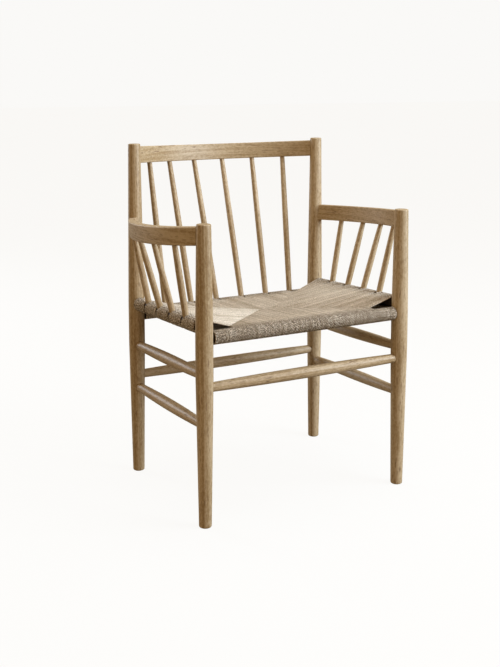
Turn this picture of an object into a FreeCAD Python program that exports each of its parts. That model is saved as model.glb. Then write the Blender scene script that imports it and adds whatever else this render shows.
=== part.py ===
import FreeCAD, Part
import math
import os
from types import SimpleNamespace

import Sketcher
from FreeCAD import Placement, Rotation, Vector

# A wooden armchair: four turned posts, a bent crest rail and two bent arm rails, round spindles
# and stretchers, and a seat woven from paper cord over four round rails.
# Millimetres, +Z up, the front towards -Y. "Left" is the -X side. The origin is on the floor,
# under the middle of the chair's outer box.

# ---------------------------------------------------------------------------
# Driving dimensions: name, value, meaning
# ---------------------------------------------------------------------------
DRIVING_DIMENSIONS = (
    ("overall_width", 650, "outside of one arm rail to outside of the other"),
    ("overall_depth", 540, "front of the front posts to back of the crest rail"),
    ("overall_height", 820, "floor to the top of the rear posts"),
    ("front_post_height", 672, "floor to the top of the front posts"),
    ("post_foot_radius", 14.2, "post at the floor"),
    ("post_belly_radius", 19.5, "post where the seat rails enter it"),
    ("post_belly_low", 330, "height where the lower taper ends"),
    ("post_belly_high", 430, "height where the upper taper starts"),
    ("rear_post_top_radius", 14.7, "rear post at its top"),
    ("front_post_top_radius", 16.2, "front post at its top"),
    ("post_foot_round", 3.5, "rounding at the foot of a post"),
    ("post_top_round", 2.5, "rounding at the top of a post"),
    ("crest_board_height", 41, "height of the crest rail's board"),
    ("crest_thickness", 20, "thickness of the crest rail's board"),
    ("crest_bow", 129, "how far the crest rail bows back behind the posts"),
    ("crest_tilt", 4.4, "degrees by which the crest rail's bow dips towards the back"),
    ("crest_set_down", 6, "crest rail's top edge below the tops of the rear posts"),
    ("arm_board_height", 40, "height of an arm rail's board"),
    ("arm_thickness", 20, "thickness of an arm rail's board"),
    ("arm_bow", 55, "how far an arm rail bows out beyond the posts"),
    ("arm_tilt", 4, "degrees by which an arm rail's bow dips towards the outside"),
    ("arm_set_down", 5, "arm rail's top edge below the top of the front post"),
    ("arm_fall", 25, "arm rail's rear end below its front end"),
    ("board_edge_chamfer", 1.8, "chamfer along the edges of the bent boards"),
    ("board_tenon_radius", 6, "round tenon at each end of a bent board"),
    ("board_tenon_length", 24, "distance from a post's axis that the tenon's root reaches"),
    ("front_rail_height", 424, "axis of the front seat rail above the floor"),
    ("rear_rail_height", 400, "axis of the rear seat rail above the floor"),
    ("side_rail_height_front", 447, "axis of a side seat rail at the front post"),
    ("side_rail_height_rear", 428, "axis of a side seat rail at the rear post"),
    ("seat_rail_radius", 13, "wooden core of a seat rail"),
    ("seat_tenon_radius", 9, "tenon of a seat rail"),
    ("front_stretcher_height", 314, "axis of the front stretcher"),
    ("rear_stretcher_height", 247, "axis of the rear stretcher"),
    ("upper_stretcher_height_front", 341, "axis of an upper side stretcher at the front post"),
    ("upper_stretcher_height_rear", 323, "axis of an upper side stretcher at the rear post"),
    ("lower_stretcher_height_front", 230, "axis of a lower side stretcher at the front post"),
    ("lower_stretcher_height_rear", 217, "axis of a lower side stretcher at the rear post"),
    ("stretcher_end_radius", 10.5, "stretcher where it enters a post"),
    ("stretcher_middle_radius", 13.4, "stretcher at the middle of its length"),
    ("tenon_tip_distance", 4, "how near to a post's axis each rail's tip comes"),
    ("spindle_top_radius", 6, "spindle where it enters a bent board"),
    ("spindle_belly_radius", 7.5, "spindle at its thickest"),
    ("spindle_foot_radius", 7.1, "spindle where it enters a seat rail"),
    ("spindle_tip_radius", 4.5, "tip of a spindle's tapered upper tenon"),
    ("spindle_root_radius", 5.5, "tip of a spindle's tapered lower tenon"),
    ("spindle_belly_share", 0.4, "place of the thickest point along a spindle's length"),
    ("spindle_top_depth", 15, "depth of a spindle's tenon in a bent board"),
    ("spindle_foot_depth", 16, "depth of a spindle's tenon in a seat rail"),
    ("back_foot_pitch", 72, "spacing of the back spindles along the rear seat rail"),
    ("back_crest_step", 14.6, "degrees between the back spindles round the crest rail's arc"),
    ("arm_foot_pitch", 69, "spacing of the arm spindles along a side seat rail"),
    ("arm_rail_step", 12.5, "degrees between the arm spindles round an arm rail's arc"),
    ("arm_foot_shift", 2, "how far the arm spindles' feet sit behind the rail's middle"),
    ("cord_layer", 3.2, "thickness of one layer of woven cord"),
    ("seat_middle_height", 424, "top of the woven seat at its middle"),
    ("seat_middle_thickness", 20, "upper to lower cord layer at the seat's middle, outside"),
    ("seam_ridge", 32, "length of the short seam where the front and rear panels meet"),
    ("seam_gap", 0.4, "gap between two woven panels along a seam"),
    ("fit", 0.25, "clearance all round a tenon, and between cord and wood"),
    ("shoulder_gap", 0.3, "clearance between a board's or rail's end and a post"),
    ("bore_spare", 0.5, "spare depth of every mortise"),
    ("bore_lead", 4, "how far a spindle's mortise tool starts outside the wood"),
)
BACK_SPINDLES = 6
ARM_SPINDLES = 4


class Size:
    """A length or angle: its number, and the spreadsheet expression that gives it."""

    def __init__(self, value, text):
        self.value = float(value)
        self.text = text

    @staticmethod
    def of(other):
        """Returns other as a Size, so that plain numbers can stand in a formula."""
        if isinstance(other, Size):
            return other
        return Size(other, f"({float(other)})")

    def __add__(self, other):
        other = Size.of(other)
        return Size(self.value + other.value, f"({self.text} + {other.text})")

    def __sub__(self, other):
        other = Size.of(other)
        return Size(self.value - other.value, f"({self.text} - {other.text})")

    def __mul__(self, other):
        other = Size.of(other)
        return Size(self.value * other.value, f"({self.text} * {other.text})")

    def __truediv__(self, other):
        other = Size.of(other)
        return Size(self.value / other.value, f"({self.text} / {other.text})")

    def __neg__(self):
        return Size(-self.value, f"(0 - {self.text})")

    def squared(self):
        return self * self

    def root(self):
        return Size(math.sqrt(self.value), f"sqrt({self.text})")

    def cosine(self):
        return Size(math.cos(math.radians(self.value)), f"cos({self.text} * 1 deg)")

    def sine(self):
        return Size(math.sin(math.radians(self.value)), f"sin({self.text} * 1 deg)")


ZERO = Size.of(0)

doc = FreeCAD.newDocument("armchair")
sheet = doc.addObject("Spreadsheet::Sheet", "Sizes")
size = SimpleNamespace()
for row, (alias, number, meaning) in enumerate(DRIVING_DIMENSIONS, start=1):
    sheet.set(f"A{row}", meaning)
    sheet.set(f"B{row}", str(number))
    sheet.setAlias(f"B{row}", alias)
    setattr(size, alias, Size(number, f"Sizes.{alias}"))
doc.recompute()

# ---------------------------------------------------------------------------
# Places worked out from the driving dimensions
# ---------------------------------------------------------------------------
# The arm rails bow out from the posts to the overall width, and the crest rail bows back to the
# overall depth, so both set where the posts stand.
def bow_reach(bow, thickness, height, tilt):
    """Returns how far a tilted, bowed board's outer edge stands off its chord."""
    return (bow + thickness / 2) * tilt.cosine() + height / 2 * tilt.sine()


crest_reach = bow_reach(
    size.crest_bow, size.crest_thickness, size.crest_board_height, size.crest_tilt
)
arm_reach = bow_reach(size.arm_bow, size.arm_thickness, size.arm_board_height, size.arm_tilt)
post_x = size.overall_width / 2 - arm_reach
rear_y = size.overall_depth / 2 - crest_reach
front_y = size.post_belly_radius - size.overall_depth / 2
middle_y = (rear_y + front_y) / 2
post_span_x = post_x * 2
post_span_y = rear_y - front_y
wrap_inner = size.seat_rail_radius + size.fit
wrap_outer = wrap_inner + size.cord_layer


def post_corner(side, end, height):
    """Returns the point at a height on a post's axis; side is -1 or 1, end is front or rear."""
    depth = front_y if end == "front" else rear_y
    return Vector(side * post_x.value, depth.value, height.value)


# ---------------------------------------------------------------------------
# Document helpers
# ---------------------------------------------------------------------------
def bind(obj, name, length):
    """Binds one property of an object to a Size."""
    obj.setExpression(name, length.text)


def new_sketch(body, role):
    """Adds a sketch on one of the body's own origin planes."""
    sketch = body.newObject("Sketcher::SketchObject", body.Name + "_outline")
    plane = next(item for item in body.Origin.OriginFeatures if item.Role == role)
    sketch.AttachmentSupport = [(plane, "")]
    sketch.MapMode = "FlatFace"
    return sketch


def arc_between(start, end, radius):
    """Returns the short counter-clockwise arc from start to end."""
    chord = end - start
    rise = math.sqrt(max(radius**2 - (chord.Length / 2) ** 2, 0))
    centre = (start + end) / 2 + Vector(-chord.y, chord.x, 0).normalize() * rise
    first = math.atan2(start.y - centre.y, start.x - centre.x)
    last = math.atan2(end.y - centre.y, end.x - centre.x)
    if last < first:
        last += 2 * math.pi
    return Part.ArcOfCircle(Part.Circle(centre, Vector(0, 0, 1), radius), first, last)


def draw_outline(sketch, points, arcs):
    """Draws a closed outline and binds every corner and arc radius.

    points holds (x, y) pairs of Sizes. arcs maps the number of a segment to its radius and to
    True where that arc runs counter-clockwise; the other segments are straight.
    """
    START, END = 1, 2
    corners = [Vector(x.value, y.value, 0) for x, y in points]
    ends = []
    for number, corner in enumerate(corners):
        following = corners[(number + 1) % len(corners)]
        if number not in arcs:
            sketch.addGeometry(Part.LineSegment(corner, following))
            ends.append((START, END))
            continue
        radius, turns_left = arcs[number]
        if turns_left:
            sketch.addGeometry(arc_between(corner, following, radius.value))
            ends.append((START, END))
        else:
            sketch.addGeometry(arc_between(following, corner, radius.value))
            ends.append((END, START))
    for number, (first, last) in enumerate(ends):
        following = (number + 1) % len(ends)
        joint = Sketcher.Constraint("Coincident", number, last, following, ends[following][0])
        sketch.addConstraint(joint)
    for number, (x, y) in enumerate(points):
        for kind, place in (("DistanceX", x), ("DistanceY", y)):
            constraint = Sketcher.Constraint(kind, number, ends[number][0], place.value)
            bind(sketch, f"Constraints[{sketch.addConstraint(constraint)}]", place)
    for number, (radius, _) in arcs.items():
        constraint = Sketcher.Constraint("Radius", number, radius.value)
        bind(sketch, f"Constraints[{sketch.addConstraint(constraint)}]", radius)


def turned(label, stations, arcs):
    """Turns a profile about its own Z axis; stations are (radius, height) from the lower end up."""
    body = doc.addObject("PartDesign::Body", label)
    sketch = new_sketch(body, "XZ_Plane")
    points = [(ZERO, stations[0][1]), *stations, (ZERO, stations[-1][1])]
    draw_outline(sketch, points, {number + 1: (radius, True) for number, radius in arcs.items()})
    revolution = body.newObject("PartDesign::Revolution", label + "_turning")
    revolution.Profile = sketch
    revolution.ReferenceAxis = (sketch, ["V_Axis"])
    revolution.Angle = 360
    return body


def extruded(label, points, arcs, length):
    """Extrudes an outline drawn in the body's XY plane along its own Z axis."""
    body = doc.addObject("PartDesign::Body", label)
    sketch = new_sketch(body, "XY_Plane")
    draw_outline(sketch, points, arcs)
    pad = body.newObject("PartDesign::Pad", label + "_pad")
    pad.Profile = sketch
    bind(pad, "Length", length)
    return body


def cylinder(label, radius, height, placement):
    tool = doc.addObject("Part::Cylinder", label)
    bind(tool, "Radius", radius)
    bind(tool, "Height", height)
    tool.Placement = placement
    return tool


def cone(label, lower_radius, upper_radius, height, placement):
    tool = doc.addObject("Part::Cone", label)
    bind(tool, "Radius1", lower_radius)
    bind(tool, "Radius2", upper_radius)
    bind(tool, "Height", height)
    tool.Placement = placement
    return tool


def fused(label, shapes):
    if len(shapes) == 1:
        return shapes[0]
    union = doc.addObject("Part::MultiFuse", label)
    union.Shapes = shapes
    return union


def cut(label, base, tools):
    result = doc.addObject("Part::Cut", label)
    result.Base = base
    result.Tool = fused(label + "_cuts", tools)
    return result


def along(start, end, offset=0.0):
    """Returns the placement with its Z axis from start towards end, moved on by offset."""
    direction = (end - start).normalize()
    return Placement(start + direction * offset, Rotation(Vector(0, 0, 1), direction))


def swell_radius(half_length, swell):
    """Returns the radius of an arc that rises by swell over half_length."""
    return (half_length.squared() + swell.squared()) / (swell * 2)


# ---------------------------------------------------------------------------
# Seat rails and stretchers: round bars between two posts
# ---------------------------------------------------------------------------
def bar_ends(kind, side, front_height, rear_height):
    """Returns a bar's two ends on the posts' axes, its length, and how steeply it rises.

    A cross bar runs left to right at one end of the chair; a side bar runs rear to front.
    """
    if kind == "side":
        start = post_corner(side, "rear", rear_height)
        end = post_corner(side, "front", front_height)
        rise = front_height - rear_height
        length = (post_span_y.squared() + rise.squared()).root()
        return start, end, length, rise / post_span_y
    height = front_height or rear_height
    return post_corner(-1, kind, height), post_corner(1, kind, height), post_span_x, ZERO


def end_inset(radius, slope):
    """Returns the distance from a post's axis to the square end of a bar of this radius.

    A bar that rises leans its end over, so its rim reaches nearer to the post than its middle.
    """
    return size.post_belly_radius + size.shoulder_gap + radius * slope


def seat_rail(label, ends):
    start, end, length, slope = ends
    shoulder = end_inset(size.seat_rail_radius, slope)
    stations = [
        (size.seat_tenon_radius, size.tenon_tip_distance),
        (size.seat_tenon_radius, shoulder),
        (size.seat_rail_radius, shoulder),
        (size.seat_rail_radius, length - shoulder),
        (size.seat_tenon_radius, length - shoulder),
        (size.seat_tenon_radius, length - size.tenon_tip_distance),
    ]
    body = turned(label + "_turned", stations, {})
    body.Placement = along(start, end)
    return body


def stretcher(label, ends):
    start, end, length, _ = ends
    mouth = size.post_belly_radius
    swell = size.stretcher_middle_radius - size.stretcher_end_radius
    stations = [
        (size.stretcher_end_radius, size.tenon_tip_distance),
        (size.stretcher_end_radius, mouth),
        (size.stretcher_end_radius, length - mouth),
        (size.stretcher_end_radius, length - size.tenon_tip_distance),
    ]
    body = turned(label, stations, {1: swell_radius(length / 2 - mouth, swell)})
    body.Placement = along(start, end)
    return body


def bar_bore(label, radius, ends):
    """The mortises of one bar, as a single cylinder that ends inside both of its posts."""
    start, end, length, _ = ends
    tip = size.tenon_tip_distance - size.bore_spare
    placement = along(start, end, tip.value)
    return cylinder(label + "_bore", radius + size.fit, length - tip * 2, placement)


SEAT_RAILS = {
    "front_seat_rail": bar_ends("front", 0, size.front_rail_height, None),
    "rear_seat_rail": bar_ends("rear", 0, None, size.rear_rail_height),
    "side_seat_rail_left": bar_ends(
        "side", -1, size.side_rail_height_front, size.side_rail_height_rear
    ),
    "side_seat_rail_right": bar_ends(
        "side", 1, size.side_rail_height_front, size.side_rail_height_rear
    ),
}
STRETCHERS = {
    "front_stretcher": bar_ends("front", 0, size.front_stretcher_height, None),
    "rear_stretcher": bar_ends("rear", 0, None, size.rear_stretcher_height),
}
for side, name in ((-1, "left"), (1, "right")):
    for level in ("upper", "lower"):
        STRETCHERS[f"{level}_side_stretcher_{name}"] = bar_ends(
            "side",
            side,
            getattr(size, f"{level}_stretcher_height_front"),
            getattr(size, f"{level}_stretcher_height_rear"),
        )

# ---------------------------------------------------------------------------
# Bent boards: the crest rail and the two arm rails
# ---------------------------------------------------------------------------
class Board:
    """A board bent to one arc, in its own frame.

    X runs along the chord between two post axes, Y towards the bow, Z across the board's height.
    The board's arc is its middle line, and the frame's origin is the middle of the chord.
    """

    def __init__(self, label, chord, bow, height, thickness, placement):
        self.label = label
        self.chord = chord
        self.bow = bow
        self.height = height
        self.thickness = thickness
        self.placement = placement
        self.arc_radius = ((chord / 2).squared() + bow.squared()) / (bow * 2)

    def end_point(self, radius):
        """Returns the (x, y) of an arc's right end, for an arc of this radius about the centre."""
        share = radius / self.arc_radius
        drop = self.arc_radius - self.bow
        return self.chord / 2 * share, drop * share - drop

    def point(self, angle, height):
        """Returns the point at an angle round the arc and a height above the middle, placed."""
        turn = math.radians(angle)
        radius = self.arc_radius.value
        local = Vector(radius * math.sin(turn), radius * math.cos(turn), height)
        return self.placement.multVec(local - Vector(0, radius - self.bow.value, 0))

    def blank(self):
        """The bent board itself, with eased edges, from one post's axis to the other's."""
        outer = self.arc_radius + self.thickness / 2
        inner = self.arc_radius - self.thickness / 2
        outer_x, outer_y = self.end_point(outer)
        inner_x, inner_y = self.end_point(inner)
        points = [
            (outer_x, outer_y),
            (-outer_x, outer_y),
            (-inner_x, inner_y),
            (inner_x, inner_y),
        ]
        arcs = {0: (outer, True), 2: (inner, False)}
        body = extruded(self.label + "_board", points, arcs, self.height)
        lift = Placement(Vector(0, 0, -self.height.value / 2), Rotation())
        body.Placement = self.placement.multiply(lift)
        doc.recompute()
        pad = body.Tip
        edges = [
            f"Edge{number}"
            for number, edge in enumerate(pad.Shape.Edges, start=1)
            if isinstance(edge.Curve, Part.Circle)
        ]
        chamfer = body.newObject("PartDesign::Chamfer", self.label + "_chamfer")
        chamfer.Base = (pad, edges)
        bind(chamfer, "Size", size.board_edge_chamfer)
        return body

    def tenon_placement(self, end, start):
        """Returns where a tenon starts, on the arc's tangent; end is -1 or 1, start its offset."""
        radius = self.arc_radius.value
        half = self.chord.value / 2
        tangent = Vector(-end * (radius - self.bow.value), half, 0) / radius
        root = Vector(end * half, 0, 0) + tangent * start
        local = Placement(root, Rotation(Vector(0, 0, 1), tangent))
        return self.placement.multiply(local)

    def tenons(self):
        tip = size.tenon_tip_distance
        return [
            cylinder(
                f"{self.label}_tenon_{number}",
                size.board_tenon_radius,
                size.board_tenon_length - tip,
                self.tenon_placement(end, tip.value),
            )
            for number, end in enumerate((-1, 1), start=1)
        ]

    def bores(self):
        tip = size.tenon_tip_distance - size.bore_spare
        return [
            cylinder(
                f"{self.label}_bore_{number}",
                size.board_tenon_radius + size.fit,
                size.board_tenon_length - tip,
                self.tenon_placement(end, tip.value),
            )
            for number, end in enumerate((-1, 1), start=1)
        ]


crest_end_height = (
    size.overall_height
    - size.crest_set_down
    - size.crest_board_height / 2 * size.crest_tilt.cosine()
)
CREST = Board(
    "crest_rail",
    post_span_x,
    size.crest_bow,
    size.crest_board_height,
    size.crest_thickness,
    Placement(
        Vector(0, rear_y.value, crest_end_height.value),
        Rotation(Vector(1, 0, 0), -size.crest_tilt.value),
    ),
)

arm_front_height = size.front_post_height - size.arm_set_down - size.arm_board_height / 2
arm_chord = (post_span_y.squared() + size.arm_fall.squared()).root()


def arm_board(side, name):
    """An arm rail: its chord falls towards the rear, and its bow faces away from the seat."""
    fall = math.degrees(math.atan2(size.arm_fall.value, post_span_y.value))
    middle = Vector(
        side * post_x.value,
        middle_y.value,
        arm_front_height.value - size.arm_fall.value / 2,
    )
    turn = (
        Rotation(Vector(0, 0, 1), -side * 90)
        * Rotation(Vector(0, 1, 0), -side * fall)
        * Rotation(Vector(1, 0, 0), -size.arm_tilt.value)
    )
    return Board(
        f"arm_rail_{name}",
        arm_chord,
        size.arm_bow,
        size.arm_board_height,
        size.arm_thickness,
        Placement(middle, turn),
    )


ARMS = {-1: arm_board(-1, "left"), 1: arm_board(1, "right")}

# ---------------------------------------------------------------------------
# Spindles: round sticks with a tapered tenon at each end
# ---------------------------------------------------------------------------
class Spindle:
    """A stick from a point on a seat rail's axis to a point on a bent board's middle line."""

    def __init__(self, label, rail, board, foot, head):
        self.label = label
        self.rail = rail
        self.board = board
        self.foot = foot
        self.head = head
        # Millimetres from the foot to the board's underside, to a hundredth.
        reach = (head - foot).Length - size.spindle_top_depth.value / 2
        self.mouth = Size.of(round(reach, 2))

    def body(self):
        rail_mouth = size.seat_rail_radius
        root = rail_mouth - size.spindle_foot_depth
        belly = self.mouth * size.spindle_belly_share
        foot_swell = size.spindle_belly_radius - size.spindle_foot_radius
        top_swell = size.spindle_belly_radius - size.spindle_top_radius
        stations = [
            (size.spindle_root_radius, root),
            (size.spindle_foot_radius, rail_mouth),
            (size.spindle_belly_radius, belly),
            (size.spindle_top_radius, self.mouth),
            (size.spindle_tip_radius, self.mouth + size.spindle_top_depth),
        ]
        arcs = {
            1: swell_radius(belly - rail_mouth, foot_swell),
            2: swell_radius(self.mouth - belly, top_swell),
        }
        body = turned(self.label, stations, arcs)
        body.Placement = along(self.foot, self.head)
        return body

    def board_bore(self):
        """The tapered mortise in the board, started a little below it so that it opens clear."""
        taper = (size.spindle_top_radius - size.spindle_tip_radius) / size.spindle_top_depth
        return cone(
            self.label + "_head_bore",
            size.spindle_top_radius + size.fit + taper * size.bore_lead,
            size.spindle_tip_radius + size.fit,
            size.bore_lead + size.spindle_top_depth + size.bore_spare,
            along(self.foot, self.head, self.mouth.value - size.bore_lead.value),
        )

    def rail_bore(self):
        """The tapered mortise in the seat rail, carried on above it so that it opens clear."""
        taper = (size.spindle_foot_radius - size.spindle_root_radius) / size.spindle_foot_depth
        root = size.seat_rail_radius - size.spindle_foot_depth - size.bore_spare
        return cone(
            self.label + "_foot_bore",
            size.spindle_root_radius + size.fit,
            size.spindle_foot_radius + size.fit + taper * size.bore_lead,
            size.bore_spare + size.spindle_foot_depth + size.bore_lead,
            along(self.foot, self.head, root.value),
        )

    def cord_opening(self):
        """The hole that the cord leaves round the stick."""
        return cylinder(
            self.label + "_cord_opening",
            size.spindle_belly_radius + size.fit,
            wrap_outer * 2,
            along(self.foot, self.head),
        )


def back_spindles():
    height = (size.spindle_top_depth - size.crest_board_height) / 2
    spindles = []
    for number in range(BACK_SPINDLES):
        place = number - (BACK_SPINDLES - 1) / 2
        foot = Vector(place * size.back_foot_pitch.value, rear_y.value, size.rear_rail_height.value)
        head = CREST.point(place * size.back_crest_step.value, height.value)
        label = f"back_spindle_{number + 1}"
        spindles.append(Spindle(label, "rear_seat_rail", CREST, foot, head))
    return spindles


def arm_spindles(side, name):
    """The sticks of one arm, numbered from the front to the rear."""
    rail = f"side_seat_rail_{name}"
    rail_rear, rail_front, _, _ = SEAT_RAILS[rail]
    towards_rear = (rail_rear - rail_front).normalize()
    rail_middle = (rail_rear + rail_front) / 2
    height = (size.spindle_top_depth - size.arm_board_height) / 2
    spindles = []
    for number in range(ARM_SPINDLES):
        place = number - (ARM_SPINDLES - 1) / 2
        offset = place * size.arm_foot_pitch.value + size.arm_foot_shift.value
        head = ARMS[side].point(-side * place * size.arm_rail_step.value, height.value)
        label = f"arm_spindle_{name}_{number + 1}"
        foot = rail_middle + towards_rear * offset
        spindles.append(Spindle(label, rail, ARMS[side], foot, head))
    return spindles


SPINDLES = back_spindles() + arm_spindles(-1, "left") + arm_spindles(1, "right")

# ---------------------------------------------------------------------------
# Posts: turned, straight tapers below and above the seat, bored for every bar
# ---------------------------------------------------------------------------
def post(side, end):
    height = size.front_post_height if end == "front" else size.overall_height
    top_radius = size.front_post_top_radius if end == "front" else size.rear_post_top_radius
    name = f"{end}_post_{'left' if side < 0 else 'right'}"
    foot_round = size.post_foot_round
    top_round = size.post_top_round
    stations = [
        (size.post_foot_radius - foot_round, ZERO),
        (size.post_foot_radius, foot_round),
        (size.post_belly_radius, size.post_belly_low),
        (size.post_belly_radius, size.post_belly_high),
        (top_radius, height - top_round),
        (top_radius - top_round, height),
    ]
    blank = turned(name + "_turned", stations, {0: foot_round, 4: top_round})
    blank.Placement = Placement(post_corner(side, end, ZERO), Rotation())
    # The upper taper, enlarged by the shoulder gap, trims the boards that end at this post.
    taper = cone(
        name + "_clearance",
        size.post_belly_radius + size.shoulder_gap,
        top_radius + size.shoulder_gap,
        height - top_round - size.post_belly_high,
        Placement(post_corner(side, end, size.post_belly_high), Rotation()),
    )
    return name, blank, taper


# ---------------------------------------------------------------------------
# Woven seat: four panels, each a sheet of cord that wraps its rail and runs to the seams
# ---------------------------------------------------------------------------
def panel_outline(run, middle_drop):
    """The section across a rail: upper layer, round the rail, lower layer.

    run is the distance from the rail's axis to the seat's middle, and middle_drop is the height
    of the rail's axis above the upper layer's top there.
    """
    upper = -middle_drop
    lower = upper - size.seat_middle_thickness
    points = [
        (run, upper),
        (ZERO, wrap_outer),
        (-wrap_outer, ZERO),
        (ZERO, -wrap_outer),
        (run, lower),
        (run, lower + size.cord_layer),
        (ZERO, -wrap_inner),
        (-wrap_inner, ZERO),
        (ZERO, wrap_inner),
        (run, upper - size.cord_layer),
    ]
    arcs = {
        1: (wrap_outer, True),
        2: (wrap_outer, True),
        6: (wrap_inner, False),
        7: (wrap_inner, False),
    }
    return points, arcs


def woven_panel(label, rail, inward, run, rail_height, footprint):
    """One panel: its section swept along the rail, kept inside its footprint between the seams.

    inward is the level direction from the rail into the seat, and rail_height is the height of
    the rail's axis at the middle of its length.
    """
    start, end, length, slope = SEAT_RAILS[rail]
    points, arcs = panel_outline(run, rail_height - size.seat_middle_height)
    inset = end_inset(wrap_outer, slope)
    section = extruded(label + "_section", points, arcs, length - inset * 2)
    if (end - start).cross(inward).z < 0:
        start, end = end, start
    direction = (end - start).normalize()
    upward = direction.cross(inward)
    turn = Rotation(inward, upward, direction, "ZXY")
    section.Placement = Placement(start + direction * inset.value, turn)
    plan = extruded(label + "_plan", footprint, {}, size.front_rail_height)
    plan.Placement = Placement(Vector(0, 0, size.front_rail_height.value / 2), Rotation())
    panel = doc.addObject("Part::Common", label + "_panel")
    panel.Base = section
    panel.Tool = plan
    openings = [spindle.cord_opening() for spindle in SPINDLES if spindle.rail == rail]
    if not openings:
        panel.Label = label
        return panel
    return cut(label, panel, openings)


# The side panels lie between the posts. Beside the posts the front and rear rails are only
# wrapped, and a seam starts where a diagonal from the end of the ridge reaches the side cords.
corner_depth = size.post_belly_radius + size.shoulder_gap
half_ridge = size.seam_ridge / 2
corner_x = half_ridge + post_span_y / 2 - corner_depth


def side_footprint(side):
    """The area from a side rail to the seams, and a strip beyond the rail for the wrap."""
    beyond = post_x + wrap_outer * 2
    seam_x = corner_x + size.seam_gap
    rear = rear_y - corner_depth
    front = front_y + corner_depth
    corners = [
        (half_ridge + size.seam_gap, middle_y),
        (seam_x, rear),
        (beyond, rear),
        (beyond, front),
        (seam_x, front),
    ]
    return [(x if side > 0 else -x, y) for x, y in corners]


def cross_footprint(rail_y, outward):
    """The area from the front or rear rail to the seams, with a strip along the whole rail."""
    beyond = rail_y + wrap_outer * 2 * outward
    strip = rail_y - (corner_depth - size.seam_gap) * outward
    ridge = middle_y + size.seam_gap / 2 * outward
    return [
        (-half_ridge, ridge),
        (-corner_x, strip),
        (-post_x, strip),
        (-post_x, beyond),
        (post_x, beyond),
        (post_x, strip),
        (corner_x, strip),
        (half_ridge, ridge),
    ]


# ---------------------------------------------------------------------------
# Build every piece
# ---------------------------------------------------------------------------
nodes = []

boards = [CREST, *ARMS.values()]
bores = [bar_bore(name, size.seat_tenon_radius, ends) for name, ends in SEAT_RAILS.items()]
bores += [bar_bore(name, size.stretcher_end_radius, ends) for name, ends in STRETCHERS.items()]
bores += [bore for board in boards for bore in board.bores()]
all_bores = fused("post_bores", bores)

clearances = []
for side in (-1, 1):
    for end in ("front", "rear"):
        name, blank, taper = post(side, end)
        nodes.append(cut(name, blank, [all_bores]))
        clearances.append(taper)

for board in boards:
    head_bores = [spindle.board_bore() for spindle in SPINDLES if spindle.board is board]
    trimmed = cut(board.label + "_trimmed", board.blank(), clearances + head_bores)
    nodes.append(fused(board.label, [trimmed, *board.tenons()]))

for name, ends in SEAT_RAILS.items():
    foot_bores = [spindle.rail_bore() for spindle in SPINDLES if spindle.rail == name]
    rail = seat_rail(name, ends)
    if foot_bores:
        rail = cut(name, rail, foot_bores)
    else:
        rail.Label = name
    nodes.append(rail)

nodes += [stretcher(name, ends) for name, ends in STRETCHERS.items()]
nodes += [spindle.body() for spindle in SPINDLES]

half_span_y = post_span_y / 2
side_rail_middle = (size.side_rail_height_front + size.side_rail_height_rear) / 2
for side, name in ((-1, "left"), (1, "right")):
    nodes.append(
        woven_panel(
            f"seat_weave_{name}",
            f"side_seat_rail_{name}",
            Vector(-side, 0, 0),
            post_x,
            side_rail_middle,
            side_footprint(side),
        )
    )
for name, inward, rail_height, rail_y in (
    ("front", Vector(0, 1, 0), size.front_rail_height, front_y),
    ("rear", Vector(0, -1, 0), size.rear_rail_height, rear_y),
):
    nodes.append(
        woven_panel(
            f"seat_weave_{name}",
            f"{name}_seat_rail",
            inward,
            half_span_y,
            rail_height,
            cross_footprint(rail_y, -inward.y),
        )
    )

doc.recompute()

# ---------------------------------------------------------------------------
# Check every object, then write each piece
# ---------------------------------------------------------------------------
for item in doc.Objects:
    if {"Invalid", "Error"} & set(item.State):
        raise RuntimeError(f"{item.Label} failed to build: {item.State}")
for node in nodes:
    shape = node.Shape
    if shape.isNull() or not shape.isValid() or len(shape.Solids) != 1:
        raise RuntimeError(f"{node.Label} is not one valid solid")

os.makedirs("parts", exist_ok=True)
for node in nodes:
    node.Shape.exportStep(f"parts/{node.Label}.step")
print(f"{len(nodes)} pieces written")
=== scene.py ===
"""A wooden armchair with a woven paper-cord seat, in a plain pale studio."""

import logging
import math
from dataclasses import dataclass, field
from enum import Enum
from random import Random

import bmesh
import bpy
from mathutils import Matrix, Vector


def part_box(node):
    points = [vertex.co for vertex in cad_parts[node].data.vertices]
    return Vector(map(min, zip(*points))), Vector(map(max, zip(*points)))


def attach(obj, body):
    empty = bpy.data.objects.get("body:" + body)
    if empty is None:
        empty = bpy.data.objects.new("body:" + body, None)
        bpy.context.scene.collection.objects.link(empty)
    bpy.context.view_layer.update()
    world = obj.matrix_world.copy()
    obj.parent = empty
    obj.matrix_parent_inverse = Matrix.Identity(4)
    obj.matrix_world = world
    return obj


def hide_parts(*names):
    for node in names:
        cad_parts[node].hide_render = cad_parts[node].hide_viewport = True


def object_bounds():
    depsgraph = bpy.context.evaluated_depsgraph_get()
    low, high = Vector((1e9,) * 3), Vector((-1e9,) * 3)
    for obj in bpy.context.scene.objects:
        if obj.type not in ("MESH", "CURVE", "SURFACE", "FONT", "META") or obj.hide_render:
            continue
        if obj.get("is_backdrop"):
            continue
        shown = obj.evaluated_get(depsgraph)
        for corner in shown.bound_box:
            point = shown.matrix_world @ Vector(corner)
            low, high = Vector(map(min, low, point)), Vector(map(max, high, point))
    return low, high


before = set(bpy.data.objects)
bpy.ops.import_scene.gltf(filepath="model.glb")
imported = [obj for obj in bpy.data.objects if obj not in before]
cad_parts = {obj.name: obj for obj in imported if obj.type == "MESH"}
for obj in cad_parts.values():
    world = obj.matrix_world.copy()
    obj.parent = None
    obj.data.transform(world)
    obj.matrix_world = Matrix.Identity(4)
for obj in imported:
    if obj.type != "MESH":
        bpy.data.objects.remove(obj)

LOG = logging.getLogger("armchair")
MM = 0.001
RIM_DEPTH = 8 * MM
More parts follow.
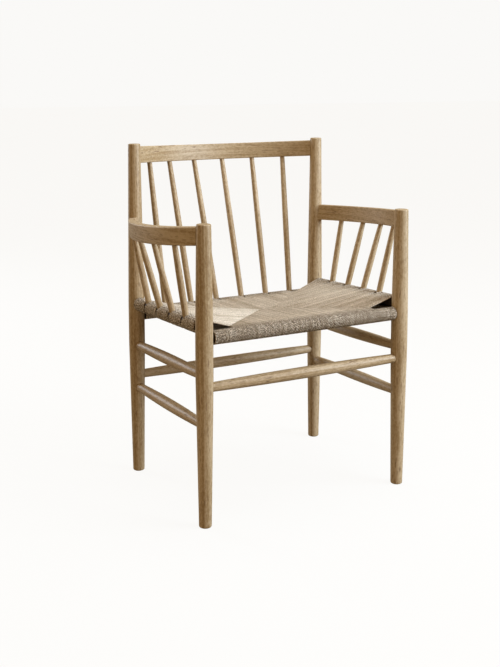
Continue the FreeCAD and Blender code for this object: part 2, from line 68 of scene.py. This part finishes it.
BOARD_THICKNESS = 20 * MM
TURN = 2 * math.pi


class Cut(Enum):
    """How a piece of wood follows its grain."""

    STRAIGHT = "straight"
    BENT = "bent"


# ---------------------------------------------------------------------------
# Shader maths
# ---------------------------------------------------------------------------
class Value:
    """One shader socket whose arithmetic adds Math nodes to its tree."""

    def __init__(self, shader: "Shader", socket: bpy.types.NodeSocket) -> None:
        """Wraps a socket.

        Args:
            shader: The shader that the socket belongs to.
            socket: The output socket to compute with.
        """
        self.shader = shader
        self.socket = socket

    def math(self, operation: str, *others: "Value | float", first: bool = True) -> "Value":
        """Adds a Math node.

        Args:
            operation: The node's operation.
            others: The other operands.
            first: Whether this value is the first operand.

        Returns:
            The node's output.
        """
        operands = (self, *others) if first else (*others, self)
        node = self.shader.node("ShaderNodeMath", {"operation": operation}, dict(enumerate(operands)))
        return Value(self.shader, node.outputs[0])

    def __add__(self, other: "Value | float") -> "Value":
        """Returns the sum."""
        return self.math("ADD", other)

    def __sub__(self, other: "Value | float") -> "Value":
        """Returns the difference."""
        return self.math("SUBTRACT", other)

    def __rsub__(self, other: float) -> "Value":
        """Returns the difference from a number."""
        return self.math("SUBTRACT", other, first=False)

    def __mul__(self, other: "Value | float") -> "Value":
        """Returns the product."""
        return self.math("MULTIPLY", other)

    def __truediv__(self, other: "Value | float") -> "Value":
        """Returns the quotient."""
        return self.math("DIVIDE", other)

    __radd__ = __add__
    __rmul__ = __mul__

    def sine(self) -> "Value":
        """Returns the sine."""
        return self.math("SINE")

    def length_with(self, other: "Value") -> "Value":
        """Returns the length of the plane vector (self, other)."""
        return (self * self + other * other).math("SQRT")

    def between(self, low: float, high: float) -> "Value":
        """Makes a smooth step from 0 to 1.

        Args:
            low: Where the step starts.
            high: Where it ends.

        Returns:
            0 below low, 1 above high and a smooth step between them.
        """
        settings = {"interpolation_type": "SMOOTHSTEP"}
        inputs = {"Value": self, "From Min": low, "From Max": high}
        return self.shader.out("ShaderNodeMapRange", settings, inputs, "Result")


class Shader:
    """The node tree of a material or of the world, under construction."""

    def __init__(self, owner: bpy.types.Material | bpy.types.World) -> None:
        """Empties the owner's node tree.

        Args:
            owner: What the nodes belong to.
        """
        self.owner = owner
        self.owner.use_nodes = True
        self.tree = self.owner.node_tree
        self.tree.nodes.clear()

    def node(self, kind: str, settings: dict, inputs: dict) -> bpy.types.Node:
        """Adds a node.

        Args:
            kind: The node's type.
            settings: Its attributes, set before its sockets.
            inputs: Its sockets' names or numbers, each with a number, tuple, socket or Value.

        Returns:
            The node.
        """
        node = self.tree.nodes.new(kind)
        for name, setting in settings.items():
            setattr(node, name, setting)
        for key, source in inputs.items():
            socket = source.socket if isinstance(source, Value) else source
            if isinstance(socket, bpy.types.NodeSocket):
                self.tree.links.new(socket, node.inputs[key])
            else:
                node.inputs[key].default_value = socket
        return node

    def out(self, kind: str, settings: dict, inputs: dict, output: str | int) -> Value:
        """Adds a node as node does, and returns one of its outputs."""
        return Value(self, self.node(kind, settings, inputs).outputs[output])

    def noise(self, vector: Value, scale: float, detail: float, roughness: float = 0.5) -> Value:
        """Returns a noise between 0 and 1 over a vector."""
        inputs = {"Vector": vector, "Scale": scale, "Detail": detail, "Roughness": roughness}
        return self.out("ShaderNodeTexNoise", {}, inputs, "Fac")

    def vector(self, x: "Value | float", y: "Value | float", z: "Value | float") -> Value:
        """Returns the vector (x, y, z)."""
        return self.out("ShaderNodeCombineXYZ", {}, {"X": x, "Y": y, "Z": z}, "Vector")

    def parts(self, vector: Value) -> tuple[Value, Value, Value]:
        """Returns a vector's x, y and z."""
        node = self.node("ShaderNodeSeparateXYZ", {}, {"Vector": vector})
        return tuple(Value(self, node.outputs[axis]) for axis in "XYZ")

    def mix(self, factor: "Value | float", first: "Value | tuple", second: "Value | tuple") -> Value:
        """Returns first blended towards second by factor, as colours."""
        node = self.node("ShaderNodeMix", {"data_type": "RGBA"}, {0: factor, 6: first, 7: second})
        return Value(self, node.outputs[2])

    def surface(self, colour: Value, roughness: "Value | float", height: Value, depth: float,
                settings: dict) -> bpy.types.Material:
        """Closes the shader with a Principled surface.

        Args:
            colour: The base colour.
            roughness: The roughness.
            height: The relief, 0 to 1.
            depth: The relief's depth in metres.
            settings: The Principled sockets that are the same all over.

        Returns:
            The finished material.
        """
        bump = self.node("ShaderNodeBump", {}, {"Strength": 1.0, "Distance": depth, "Height": height})
        inputs = {"Base Color": colour, "Roughness": roughness, "Normal": bump.outputs[0], **settings}
        surface = self.node("ShaderNodeBsdfPrincipled", {}, inputs)
        self.node("ShaderNodeOutputMaterial", {}, {"Surface": surface.outputs[0]})
        return self.owner


# ---------------------------------------------------------------------------
# Places read from the frame
# ---------------------------------------------------------------------------
@dataclass(frozen=True)
class Axis:
    """The straight middle line of a bar, from one end to the other, in metres."""

    start: Vector
    end: Vector

    @staticmethod
    def of(node: str) -> "Axis":
        """Finds a bar's middle line from the rims of its two ends.

        Args:
            node: The bar's name.

        Returns:
            Its axis, from the low end of its longest side to the high one.
        """
        low, high = (Vector(corner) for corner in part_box(node))
        size = high - low
        longest = max(range(3), key=lambda axis: size[axis])
        corners = [vertex.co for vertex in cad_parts[node].data.vertices]
        ends = []
        for limit in (low[longest], high[longest]):
            rim = {
                tuple(round(value, 6) for value in corner)
                for corner in corners
                if abs(corner[longest] - limit) < RIM_DEPTH
            }
            ends.append(sum((Vector(corner) for corner in rim), Vector()) / len(rim))
        return Axis(*ends)

    @property
    def direction(self) -> Vector:
        """The unit vector from start to end."""
        return (self.end - self.start).normalized()

    @property
    def middle(self) -> Vector:
        """The point halfway along."""
        return (self.start + self.end) / 2

    def at(self, offset: float) -> Vector:
        """Returns the point at an offset from the middle."""
        return self.middle + self.direction * offset


def centre(node: str) -> Vector:
    """Returns the middle of a node's box."""
    low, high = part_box(node)
    return (Vector(low) + Vector(high)) / 2


# ---------------------------------------------------------------------------
# Finishes
# --------------------------------------------------------------------------- Finishes, with painted shade on the core rails and in the cord's creases
@dataclass(frozen=True)
class OiledOak:
    """Oiled oak with growth rings, pores and fibres that run along the piece."""

    light: tuple = (0.53, 0.40, 0.25, 1.0)
    brown: tuple = (0.325, 0.212, 0.10, 1.0)
    pore: tuple = (0.17, 0.09, 0.043, 1.0)
    ring_width: float = 3.4 * MM
    pith_distance: float = 60 * MM
    relief: float = 0.12 * MM

    def shader(self, name: str, seed: int, cut: Cut, turn: Matrix, radius: float) -> bpy.types.Material:
        """Makes the finish for one piece.

        Args:
            name: The material's name.
            seed: A number that gives the piece its own tree.
            cut: Whether the grain is straight or follows a bend.
            turn: The matrix from the object to the grain: straight grain runs along Z, and bent
                grain turns round Z.
            radius: The radius of the bend.

        Returns:
            The material.
        """
        shader = Shader(bpy.data.materials.new(name))
        draw = Random(seed)
        place = shader.out("ShaderNodeTexCoord", {}, {}, "Object")
        inputs = {"Vector": place, "Location": turn.to_translation(), "Rotation": turn.to_euler()}
        place = shader.out("ShaderNodeMapping", {"vector_type": "POINT"}, inputs, "Vector")
        across, through, along = shader.parts(place)
        if cut is Cut.BENT:
            bend = across.math("ARCTAN2", through)
            across, through, along = along, across.length_with(through) - radius, bend * radius
        side = draw.uniform(0, TURN)
        pith_x = self.pith_distance * math.cos(side)
        pith_y = self.pith_distance * math.sin(side)
        shift = draw.uniform(0, 9)

        drift = shader.noise(shader.vector(across * 9, through * 9, along * 2.2 + shift), 1.0, 2.0)
        reach = (across - pith_x).length_with(through - pith_y) + drift * (9 * MM)
        ring = reach / self.ring_width
        rings = shader.noise(shader.vector(ring, along * 1.6 + shift, shift), 1.0, 2.0, 0.6)
        fibre = shader.noise(
            shader.vector(across * 1500, through * 1500, along * 38 + shift), 1.0, 3.0, 0.65
        )
        streak = shader.noise(
            shader.vector(across * 330, through * 330, along * 9 + shift), 1.0, 2.0, 0.6
        )
        pores = shader.noise(shader.vector(across * 430, through * 430, along * 42 - shift), 1.0, 1.0)
        patch = shader.noise(shader.vector(across * 14, through * 14, along * 5 + shift), 1.0, 1.0)
        mottle = shader.noise(
            shader.vector(across * 260, through * 260, along * 130 + shift), 1.0, 2.0, 0.7
        )

        late = rings.between(0.36, 0.66)
        open_pores = pores.between(0.6, 0.72) * (1 - late * 0.6)
        tone = late * 0.42 + streak.between(0.3, 0.75) * 0.3 + (patch - 0.5) * 0.9
        tone = tone + (fibre - 0.5) * 0.55 + (mottle - 0.5) * 1.5 + draw.uniform(-0.08, 0.1)
        colour = shader.mix(tone.between(-0.1, 0.98), self.light, self.brown)
        colour = shader.mix(open_pores * 0.8, colour, self.pore)
        roughness = 0.44 + fibre * 0.12 + open_pores * 0.1
        height = fibre * 0.35 - open_pores * 0.6 + late * 0.2
        return shader.surface(colour, roughness, height, self.relief, {"IOR": 1.47})


# Near-black oak for the four seat rails inside the cord: painted shade, the dark of the narrow slots between
# cord groups where the rail shows.
PAINTED_SHADE_CORE_OAK = OiledOak(
    light=(0.07, 0.05, 0.035, 1.0), brown=(0.04, 0.026, 0.016, 1.0), pore=(0.02, 0.012, 0.008, 1.0)
)


@dataclass(frozen=True)
class PaperCord:
    """Twisted natural paper cord, matt, each length a little different in tone, with painted shade in the
    creases between its plies.
    """

    pale: tuple = (0.90, 0.78, 0.63, 1.0)
    tan: tuple = (0.44, 0.335, 0.222, 1.0)
    painted_crease_shade: tuple = (0.075, 0.046, 0.024, 1.0)
    twist: float = 18 * MM
    plies: int = 3
    relief: float = 0.6 * MM

    def shader(self) -> bpy.types.Material:
        """Makes the finish: the map's U runs along the cord in metres, and V once round it."""
        shader = Shader(bpy.data.materials.new("paper_cord"))
        along, around, _ = shader.parts(shader.out("ShaderNodeTexCoord", {}, {}, "UV"))
        tone = shader.out("ShaderNodeAttribute", {"attribute_name": "tone"}, {}, "Fac")
        bend = shader.out("ShaderNodeAttribute", {"attribute_name": "bend"}, {}, "Fac")
        turn = (along / self.twist + around + tone * 0.07) * (TURN * self.plies)
        ply = turn.sine() * 0.5 + 0.5
        place = shader.out("ShaderNodeTexCoord", {}, {}, "Object")
        fleck = shader.noise(place, 430.0, 2.0, 0.7)
        cloud = shader.noise(place, 16.0, 2.0)
        shade = tone * 0.2 + fleck * 0.9 + cloud * 0.25
        colour = shader.mix(shade.between(0.4, 0.95), self.pale, self.tan)
        # Painted shade: the creases between the plies darken towards near-black, more where the cord bends
        # round a rail.
        painted_fold_shade = (1 - ply.between(0.02, 0.62)) * (fleck.between(0.25, 0.6) * 0.4 + 0.6)
        colour = shader.mix(painted_fold_shade * (bend * 0.7 + 0.26), colour, self.painted_crease_shade)
        # Dark specks in the same painted crease shade, stronger where the cord bends round a rail.
        colour = shader.mix(fleck.between(0.48, 0.58) * (bend * 0.62 + 0.1), colour, self.painted_crease_shade)
        height = ply.between(0.0, 0.8) + fleck * 0.15
        return shader.surface(colour, 0.82, height, self.relief, {"IOR": 1.45})


# ---------------------------------------------------------------------------
# Wooden frame
# ---------------------------------------------------------------------------
@dataclass
class WoodenFrame:
    """The posts, rails, stretchers and spindles in oak, and the core rails in the cord in near-black oak,
    which is painted shade for the slots between cord groups.
    """

    oak: OiledOak = OiledOak()
    core: OiledOak = PAINTED_SHADE_CORE_OAK

    def straight(self, node: str, seed: int) -> None:
        """Dresses a straight piece, with its grain along its own axis.

        Args:
            node: The piece's name.
            seed: The piece's number.
        """
        axis = Axis.of(node)
        turn = axis.direction.rotation_difference(Vector((0, 0, 1))).to_matrix().to_4x4()
        matrix = turn @ Matrix.Translation(-axis.middle)
        # The seat rails get the near-black oak, which is painted shade; every other piece gets the oiled
        # oak.
        finish = self.core if "seat_rail" in node else self.oak
        self.dress(node, finish.shader(node + "_oak", seed, Cut.STRAIGHT, matrix, 0.0))

    def bent(self, node: str, seed: int, chord: Axis, bow: Vector) -> None:
        """Dresses a bent board, with its grain round its bend.

        Args:
            node: The board's name.
            seed: The piece's number.
            chord: The line between the board's two ends.
            bow: The level direction towards which the board bows.
        """
        low, high = (Vector(corner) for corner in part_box(node))
        outer = max(corner.dot(bow) for corner in (low, high))
        sagitta = outer - BOARD_THICKNESS / 2 - chord.middle.dot(bow)
        half = (chord.end - chord.start).length / 2
        radius = (half**2 + sagitta**2) / (2 * sagitta)
        pivot = chord.middle + bow * (sagitta - radius)
        side = bow.cross(Vector((0, 0, 1)))
        turn = Matrix((side, bow, Vector((0, 0, 1)))).to_4x4()
        matrix = turn @ Matrix.Translation(-pivot)
        self.dress(node, self.oak.shader(node + "_oak", seed, Cut.BENT, matrix, radius))

    def dress(self, node: str, material: bpy.types.Material) -> None:
        """Puts a material on every slot of a node.

        Args:
            node: The piece's name.
            material: Its finish.
        """
        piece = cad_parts[node]
        if not piece.material_slots:
            piece.data.materials.append(material)
        for slot in piece.material_slots:
            slot.material = material
        LOG.info("%s: %s", node, material.name)

    def build(self) -> None:
        """Dresses every wooden piece."""
        boards = {
            "crest_rail": ("rear_post_left", "rear_post_right", Vector((0, 1, 0))),
            "arm_rail_left": ("front_post_left", "rear_post_left", Vector((-1, 0, 0))),
            "arm_rail_right": ("front_post_right", "rear_post_right", Vector((1, 0, 0))),
        }
        wooden = sorted(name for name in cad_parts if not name.startswith("seat_weave"))
        for seed, node in enumerate(wooden):
            if node in boards:
                first, last, bow = boards[node]
                height = centre(node).z
                ends = [centre(post) for post in (first, last)]
                chord = Axis(*(Vector((end.x, end.y, height)) for end in ends))
                self.bent(node, seed, chord, bow)
            else:
                self.straight(node, seed)
        LOG.info("oak on %d pieces", len(wooden))


# ---------------------------------------------------------------------------
# Woven seat
# ---------------------------------------------------------------------------
@dataclass(frozen=True)
class Station:
    """One place along a cord: where it is, and how far the sticks part the cords there.

    angle is round the rail in degrees, 90 at its top and -90 underneath. Where it is None, the
    place lies on a layer, run metres in from the rail, above or below.
    """

    angle: float | None
    run: float
    parting: float
    upper: bool = True


STATIONS = (
    Station(None, 34 * MM, 0.0),
    Station(None, 12 * MM, 0.35),
    Station(90, 0.0, 0.9),
    Station(58, 0.0, 1.0),
    Station(26, 0.0, 0.5),
    Station(-6, 0.0, 0.4),
    Station(-36, 0.0, 0.38),
    Station(-64, 0.0, 0.34),
    Station(-90, 0.0, 0.2),
    Station(None, 30 * MM, 0.0, upper=False),
)
WRAP_ANGLES = (192, 160, 125, 90, 58, 26, -6, -36, -64, -90, -125, -160)


@dataclass
class Weave:
    """The sizes that the four panels share."""

    cord_radius: float = 1.56 * MM
    pitch: float = 3.13 * MM
    core_radius: float = 13 * MM
    stick_radius: float = 7.3 * MM
    ridge: float = 32 * MM
    middle_top: float = 424 * MM
    middle_bottom: float = 404 * MM
    clearance: float = 0.3 * MM
    dive: float = 5 * MM
    dive_reach: float = 1.5 * MM
    seam_gap: float = 0.5 * MM
    swell: float = 0.4 * MM
    odd_lift: float = 0.3 * MM
    place_spread: float = 0.14 * MM
    seam_spread: float = 0.5 * MM
    bend_fade: float = 30 * MM
    sides: int = 6

    @property
    def wrap(self) -> float:
        """The distance from a rail's axis to the middle of the cord round it."""
        return self.core_radius + self.cord_radius + self.clearance


@dataclass
class Panel:
    """One of the four woven panels: cords that wrap one rail and run in to the seams.

    Places are distances along the rail from its middle. Up to apex the cords run the whole depth,
    and from there the seam comes nearer by as much as the place moves out, until corner. Beyond
    corner the cord only winds round the rail, as far as limit.
    """

    node: str
    rail: Axis
    inward: Vector
    depth: float
    apex: float
    corner: float
    limit: float
    corner_heights: tuple[float, float]
    sticks: list[float]
    weave: Weave
    seed: int

    def run_to_seam(self, place: float) -> float:
        """Returns how far a cord at this place along the rail runs in before the seam."""
        return self.depth - max(0.0, abs(place) - self.apex)

    def parted(self, place: float, parting: float) -> float:
        """Returns a cord's place along the rail once the sticks have pushed it aside.

        Args:
            place: The cord's even place.
            parting: The share of the full opening round a stick.

        Returns:
            The new place.
        """
        opening = parting * (self.weave.stick_radius + self.weave.cord_radius)
        fences = [(-self.limit, 0.0), *((stick, opening) for stick in self.sticks), (self.limit, 0.0)]
        for (low, low_gap), (high, high_gap) in zip(fences, fences[1:]):
            if low <= place <= high:
                free = high - high_gap - low - low_gap
                return low + low_gap + (place - low) / (high - low) * free
        return place

    def crowding(self, place: float) -> float:
        """Tells how crowded the cords are at a place.

        Args:
            place: The cord's even place.

        Returns:
            0 at a stick or a post, and 1 halfway between two.
        """
        fences = [-self.limit, *self.sticks, self.limit]
        for low, high in zip(fences, fences[1:]):
            if low <= place <= high:
                return math.sin(math.pi * (place - low) / (high - low))
        return 0.0

    def seam_height(self, place: float, upper: bool) -> float:
        """Finds where a cord meets the seam.

        Args:
            place: The cord's place along the rail.
            upper: Whether it is the upper layer.

        Returns:
            The height of the cord's middle.
        """
        weave = self.weave
        sign = 1 if upper else -1
        share = max(0.0, abs(place) - self.apex) / (self.corner - self.apex)
        middle = (weave.middle_top if upper else weave.middle_bottom) - sign * weave.cord_radius
        corner = self.corner_heights[0 if place < 0 else 1] + sign * weave.wrap
        return middle + (corner - middle) * share

    def layer_height(self, place: float, run: float, upper: bool) -> float:
        """Returns the height of a layer at a distance in from the rail."""
        own = self.rail.at(place).z + (1 if upper else -1) * self.weave.wrap
        return own + (self.seam_height(place, upper) - own) * run / self.run_to_seam(place)

    def wrapping(self, place: float) -> list[Vector]:
        """Lays one turn of cord round the rail.

        Args:
            place: The cord's place along the rail.

        Returns:
            The points.
        """
        points = []
        for angle in (*WRAP_ANGLES, WRAP_ANGLES[0] - 360):
            turn = math.radians(angle)
            spot = self.rail.at(place) - self.inward * self.weave.wrap * math.cos(turn)
            points.append(spot + Vector((0, 0, self.weave.wrap * math.sin(turn))))
        return points

    def route(self, place: float, odd: bool, draw: Random) -> list[Vector]:
        """Returns the points that one cord follows, from the upper seam to the lower one.

        Args:
            place: The cord's place along the rail.
            odd: Whether it is every other cord, which the crowding beside a stick lifts.
            draw: The panel's random numbers.

        Returns:
            The points.
        """
        weave = self.weave
        jitter = draw.gauss(0, weave.place_spread)
        if abs(place) > self.corner:
            return self.wrapping(place + jitter)
        seam = self.run_to_seam(place) + draw.gauss(0, weave.seam_spread)
        points = []

        def put(offset: float, run: float, height: float) -> None:
            """Adds a point at a place along the rail, a distance in, and a height."""
            spot = self.rail.at(offset) + self.inward * run
            points.append(Vector((spot.x, spot.y, height)))

        def turn_down(upper: bool) -> None:
            """Adds the two points where the cord goes into the seam.

            Args:
                upper: Whether it is the upper layer.
            """
            height = self.seam_height(place, upper)
            ends = [(seam + weave.dive_reach, height - (weave.dive if upper else -weave.dive))]
            ends.append((seam - weave.seam_gap, height))
            for run, level in ends if upper else reversed(ends):
                put(place + jitter, run, level)

        turn_down(True)
        for station in STATIONS:
            offset = self.parted(place, station.parting) + jitter
            swell = 0.0
            if self.sticks:
                lift = weave.odd_lift if odd else 0.0
                swell = station.parting * (self.crowding(place) * weave.swell + lift)
            if station.angle is None:
                run = min(station.run, seam * 0.6)
                height = self.layer_height(place, run, station.upper)
                put(offset, run, height + (swell if station.upper else -swell))
                continue
            angle = math.radians(station.angle)
            reach = weave.wrap + swell + abs(jitter)
            height = self.rail.at(offset).z + reach * math.sin(angle)
            put(offset, -reach * math.cos(angle), height)
        turn_down(False)
        return points

    def lay(self, mesh: bmesh.types.BMesh, points: list[Vector], tone: float) -> None:
        """Sweeps one cord along its points.

        Args:
            mesh: The panel's mesh.
            points: The route.
            tone: The cord's own shade, 0 to 1.
        """
        weave = self.weave
        chart = mesh.loops.layers.uv["cord"]
        shade, bend = (mesh.verts.layers.float[name] for name in ("tone", "bend"))
        level = self.rail.direction
        frames = []
        for number, point in enumerate(points):
            ahead = points[min(number + 1, len(points) - 1)] - points[max(number - 1, 0)]
            ahead.normalize()
            side = (level - ahead * level.dot(ahead)).normalized()
            turn = Matrix((side, ahead.cross(side), ahead)).transposed().to_4x4()
            frames.append(Matrix.Translation(point) @ turn)
        ring = bmesh.ops.create_circle(
            mesh, segments=weave.sides, radius=weave.cord_radius, matrix=frames[0], cap_ends=False
        )["verts"]
        edges = list({edge for vertex in ring for edge in vertex.link_edges})
        for vertex in ring:
            vertex[shade], vertex[bend] = tone, self.bend_at(points[0])
        travelled = 0.0
        for here, there in zip(frames, frames[1:]):
            grown = bmesh.ops.extrude_edge_only(mesh, edges=edges)["geom"]
            ring = [item for item in grown if isinstance(item, bmesh.types.BMVert)]
            edges = [item for item in grown if isinstance(item, bmesh.types.BMEdge)]
            edges = [edge for edge in edges if all(vertex in ring for vertex in edge.verts)]
            faces = [item for item in grown if isinstance(item, bmesh.types.BMFace)]
            bmesh.ops.transform(mesh, matrix=there @ here.inverted(), verts=ring)
            step = (there.translation - here.translation).length
            back = there.inverted()
            fresh = set(ring)
            for vertex in ring:
                vertex[shade], vertex[bend] = tone, self.bend_at(there.translation)
            for face in faces:
                face.smooth = True
                turns = [self.turn_of(loop.vert, fresh, here, back) for loop in face.loops]
                if max(turns) - min(turns) > 0.5:
                    turns = [turn + 1 if turn < 0.5 else turn for turn in turns]
                for loop, turn in zip(face.loops, turns):
                    reach = travelled + (step if loop.vert in fresh else 0.0)
                    loop[chart].uv = (reach, turn)
            travelled += step

    def bend_at(self, point: Vector) -> float:
        """Returns 1 where a cord bends round the rail, down to 0 where it runs flat."""
        reach = (point - self.rail.middle).dot(self.inward)
        return min(1.0, max(0.0, 1.0 - reach / self.weave.bend_fade))

    @staticmethod
    def turn_of(vertex: bmesh.types.BMVert, fresh: set, here: Matrix, back: Matrix) -> float:
        """Returns a rim vertex's place round its cord, from 0 to 1."""
        local = back @ vertex.co if vertex in fresh else here.inverted() @ vertex.co
        return math.atan2(local.y, local.x) / TURN % 1.0

    def build(self, material: bpy.types.Material) -> bpy.types.Object:
        """Weaves the panel and puts it in the scene.

        Args:
            material: The cord's finish.

        Returns:
            The panel's object.
        """
        draw = Random(self.seed)
        mesh = bmesh.new()
        mesh.loops.layers.uv.new("cord")
        mesh.verts.layers.float.new("tone")
        mesh.verts.layers.float.new("bend")
        count = round(2 * self.limit / self.weave.pitch)
        for number in range(count + 1):
            place = -self.limit + 2 * self.limit * number / count
            points = self.route(place, number % 2 == 1, draw)
            self.lay(mesh, points, draw.random())
        bmesh.ops.recalc_face_normals(mesh, faces=mesh.faces)
        data = bpy.data.meshes.new(self.node + "_cords")
        mesh.to_mesh(data)
        mesh.free()
        data.materials.append(material)
        piece = bpy.data.objects.new(self.node + "_cords", data)
        bpy.context.scene.collection.objects.link(piece)
        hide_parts(self.node)
        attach(piece, "root")
        LOG.info("%s: %d cords, %d faces", self.node, count + 1, len(data.polygons))
        return piece


@dataclass
class WovenSeat:
    """The four panels of the seat, laid out from the rails, posts and sticks."""

    weave: Weave = field(default_factory=Weave)
    cord: PaperCord = field(default_factory=PaperCord)

    def sticks_on(self, rail: Axis, names: list[str]) -> list[float]:
        """Returns where sticks enter a rail, as offsets from its middle, in order."""
        feet = (Axis.of(name).start for name in names)
        return sorted((foot - rail.middle).dot(rail.direction) for foot in feet)

    def build(self) -> None:
        """Weaves the seat."""
        weave = self.weave
        low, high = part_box("front_post_right")
        post_radius = (high[0] - low[0]) / 2
        half_width = centre("front_post_right").x
        half_depth = (centre("rear_post_left").y - centre("front_post_left").y) / 2
        apex = weave.ridge / 2
        side_limit = half_depth - post_radius - weave.clearance
        front, rear = Axis.of("front_seat_rail"), Axis.of("rear_seat_rail")
        shared = {"weave": weave, "apex": apex, "corner": apex + side_limit, "depth": half_depth,
                  "limit": half_width - post_radius - weave.cord_radius}
        back_sticks = self.sticks_on(rear, [f"back_spindle_{number}" for number in range(1, 7)])
        panels = [
            Panel(node="seat_weave_front", rail=front, inward=Vector((0, 1, 0)), sticks=[],
                  corner_heights=(front.middle.z,) * 2, seed=1, **shared),
            Panel(node="seat_weave_rear", rail=rear, inward=Vector((0, -1, 0)), sticks=back_sticks,
                  corner_heights=(rear.middle.z,) * 2, seed=2, **shared),
        ]
        for name, way in (("left", 1), ("right", -1)):
            rail = Axis.of(f"side_seat_rail_{name}")
            sticks = self.sticks_on(rail, [f"arm_spindle_{name}_{number}" for number in range(1, 5)])
            panels.append(Panel(
                node=f"seat_weave_{name}", rail=rail, inward=Vector((way, 0, 0)), sticks=sticks,
                depth=half_width - apex, apex=0.0, corner=side_limit,
                limit=side_limit - weave.cord_radius, weave=weave, seed=4 + way,
                corner_heights=(front.middle.z, rear.middle.z),
            ))
        material = self.cord.shader()
        for panel in panels:
            panel.build(material)


# ---------------------------------------------------------------------------
# Studio
# ---------------------------------------------------------------------------
COOL = (0.84, 1.0, 1.2)
WARM = (1.0, 0.82, 0.6)


@dataclass(frozen=True)
class Lamp:
    """A square soft light: its place and target, side in metres, power in watts and colour."""

    name: str
    place: tuple
    target: tuple
    size: float
    power: float
    tint: tuple = COOL


LAMPS = (
    Lamp("key", (2.45, -2.3, 1.6), (0, 0, 0.45), 1.8, 112.0),
    Lamp("top", (0.6, -0.3, 3.0), (0, 0, 0.4), 2.2, 40.0),
    Lamp("rim", (-1.5, 2.8, 1.3), (0, 0, 0.5), 1.0, 34.0),
    Lamp("left", (-2.6, -1.7, 1.0), (0, 0, 0.5), 1.6, 8.0, WARM),
)


@dataclass
class Studio:
    """The floor, the lights and the camera."""

    camera_place: tuple = (-1.2013, -2.1873, 0.9814)
    camera_turn: float = 28.56
    camera_dip: float = 7.66
    lens: float = 55.53
    shift_y: float = -0.178
    floor_size: float = 60.0
    floor_bounce: tuple = (0.28, 0.24, 0.19, 1.0)
    floor_evenness: float = 0.94
    floor_glow: float = 1.035
    backdrop: tuple = (0.80, 0.793, 0.78, 1.0)
    fill: tuple = (0.375, 0.285, 0.17, 1.0)

    def build(self) -> None:
        """Sets up the studio."""
        self.floor()
        self.lights()
        self.camera()

    def floor(self) -> None:
        """Lays a plain pale floor."""
        mesh = bmesh.new()
        bmesh.ops.create_grid(mesh, x_segments=1, y_segments=1, size=self.floor_size / 2)
        data = bpy.data.meshes.new("floor")
        mesh.to_mesh(data)
        mesh.free()
        shader = Shader(bpy.data.materials.new("floor_paint"))
        bounce = shader.out("ShaderNodeBsdfDiffuse", {}, {"Color": self.floor_bounce}, 0)
        matt = shader.out("ShaderNodeBsdfDiffuse", {}, {"Color": self.backdrop}, 0)
        even = shader.out("ShaderNodeEmission", {}, {"Color": self.backdrop, "Strength": self.floor_glow}, 0)
        pale = shader.out("ShaderNodeMixShader", {}, {0: self.floor_evenness, 1: matt, 2: even}, 0)
        inputs = {0: self.seen_directly(shader), 1: bounce, 2: pale}
        paint = shader.out("ShaderNodeMixShader", {}, inputs, 0)
        shader.node("ShaderNodeOutputMaterial", {}, {"Surface": paint})
        data.materials.append(shader.owner)
        floor = bpy.data.objects.new("floor", data)
        bpy.context.scene.collection.objects.link(floor)
        floor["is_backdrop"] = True

    def lights(self) -> None:
        """Lights the chair with the lamps and pale surroundings."""
        shader = Shader(bpy.data.worlds.new("surroundings"))
        fill = shader.out("ShaderNodeBackground", {}, {"Color": self.fill, "Strength": 1.0}, 0)
        pale = shader.out("ShaderNodeBackground", {}, {"Color": self.backdrop, "Strength": 1.0}, 0)
        inputs = {0: self.seen_directly(shader), 1: fill, 2: pale}
        both = shader.out("ShaderNodeMixShader", {}, inputs, 0)
        shader.node("ShaderNodeOutputWorld", {}, {"Surface": both})
        bpy.context.scene.world = shader.owner
        for lamp in LAMPS:
            self.hang(lamp)

    @staticmethod
    def seen_directly(shader: Shader) -> Value:
        """Returns 1 where the backdrop is seen itself, and 0 where it only lights the chair."""
        return shader.out("ShaderNodeLightPath", {}, {}, "Is Camera Ray")

    def hang(self, lamp: Lamp) -> None:
        """Adds a light.

        Args:
            lamp: What it is.
        """
        data = bpy.data.lights.new(lamp.name, "AREA")
        data.size = lamp.size
        data.energy = lamp.power
        data.color = lamp.tint
        light = bpy.data.objects.new(lamp.name, data)
        light.location = lamp.place
        view = Vector(lamp.target) - Vector(lamp.place)
        light.rotation_euler = view.to_track_quat("-Z", "Y").to_euler()
        bpy.context.scene.collection.objects.link(light)

    def camera(self) -> None:
        """Sets the camera up."""
        data = bpy.data.cameras.new("camera")
        data.lens = self.lens
        data.shift_y = self.shift_y
        camera = bpy.data.objects.new("camera", data)
        camera.location = self.camera_place
        camera.rotation_euler = (math.radians(90 - self.camera_dip), 0, -math.radians(self.camera_turn))
        bpy.context.scene.collection.objects.link(camera)
        bpy.context.scene.camera = camera
        bpy.context.scene.view_settings.view_transform = "Standard"
        bpy.context.scene.view_settings.look = "Medium High Contrast"


def main(cad_box: list) -> None:
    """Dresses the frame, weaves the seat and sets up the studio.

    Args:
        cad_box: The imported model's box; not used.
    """
    logging.basicConfig(level=logging.INFO)
    WoodenFrame().build()
    WovenSeat().build()
    Studio().build()


if __name__ == "__main__":
    main([list(corner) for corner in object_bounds()])
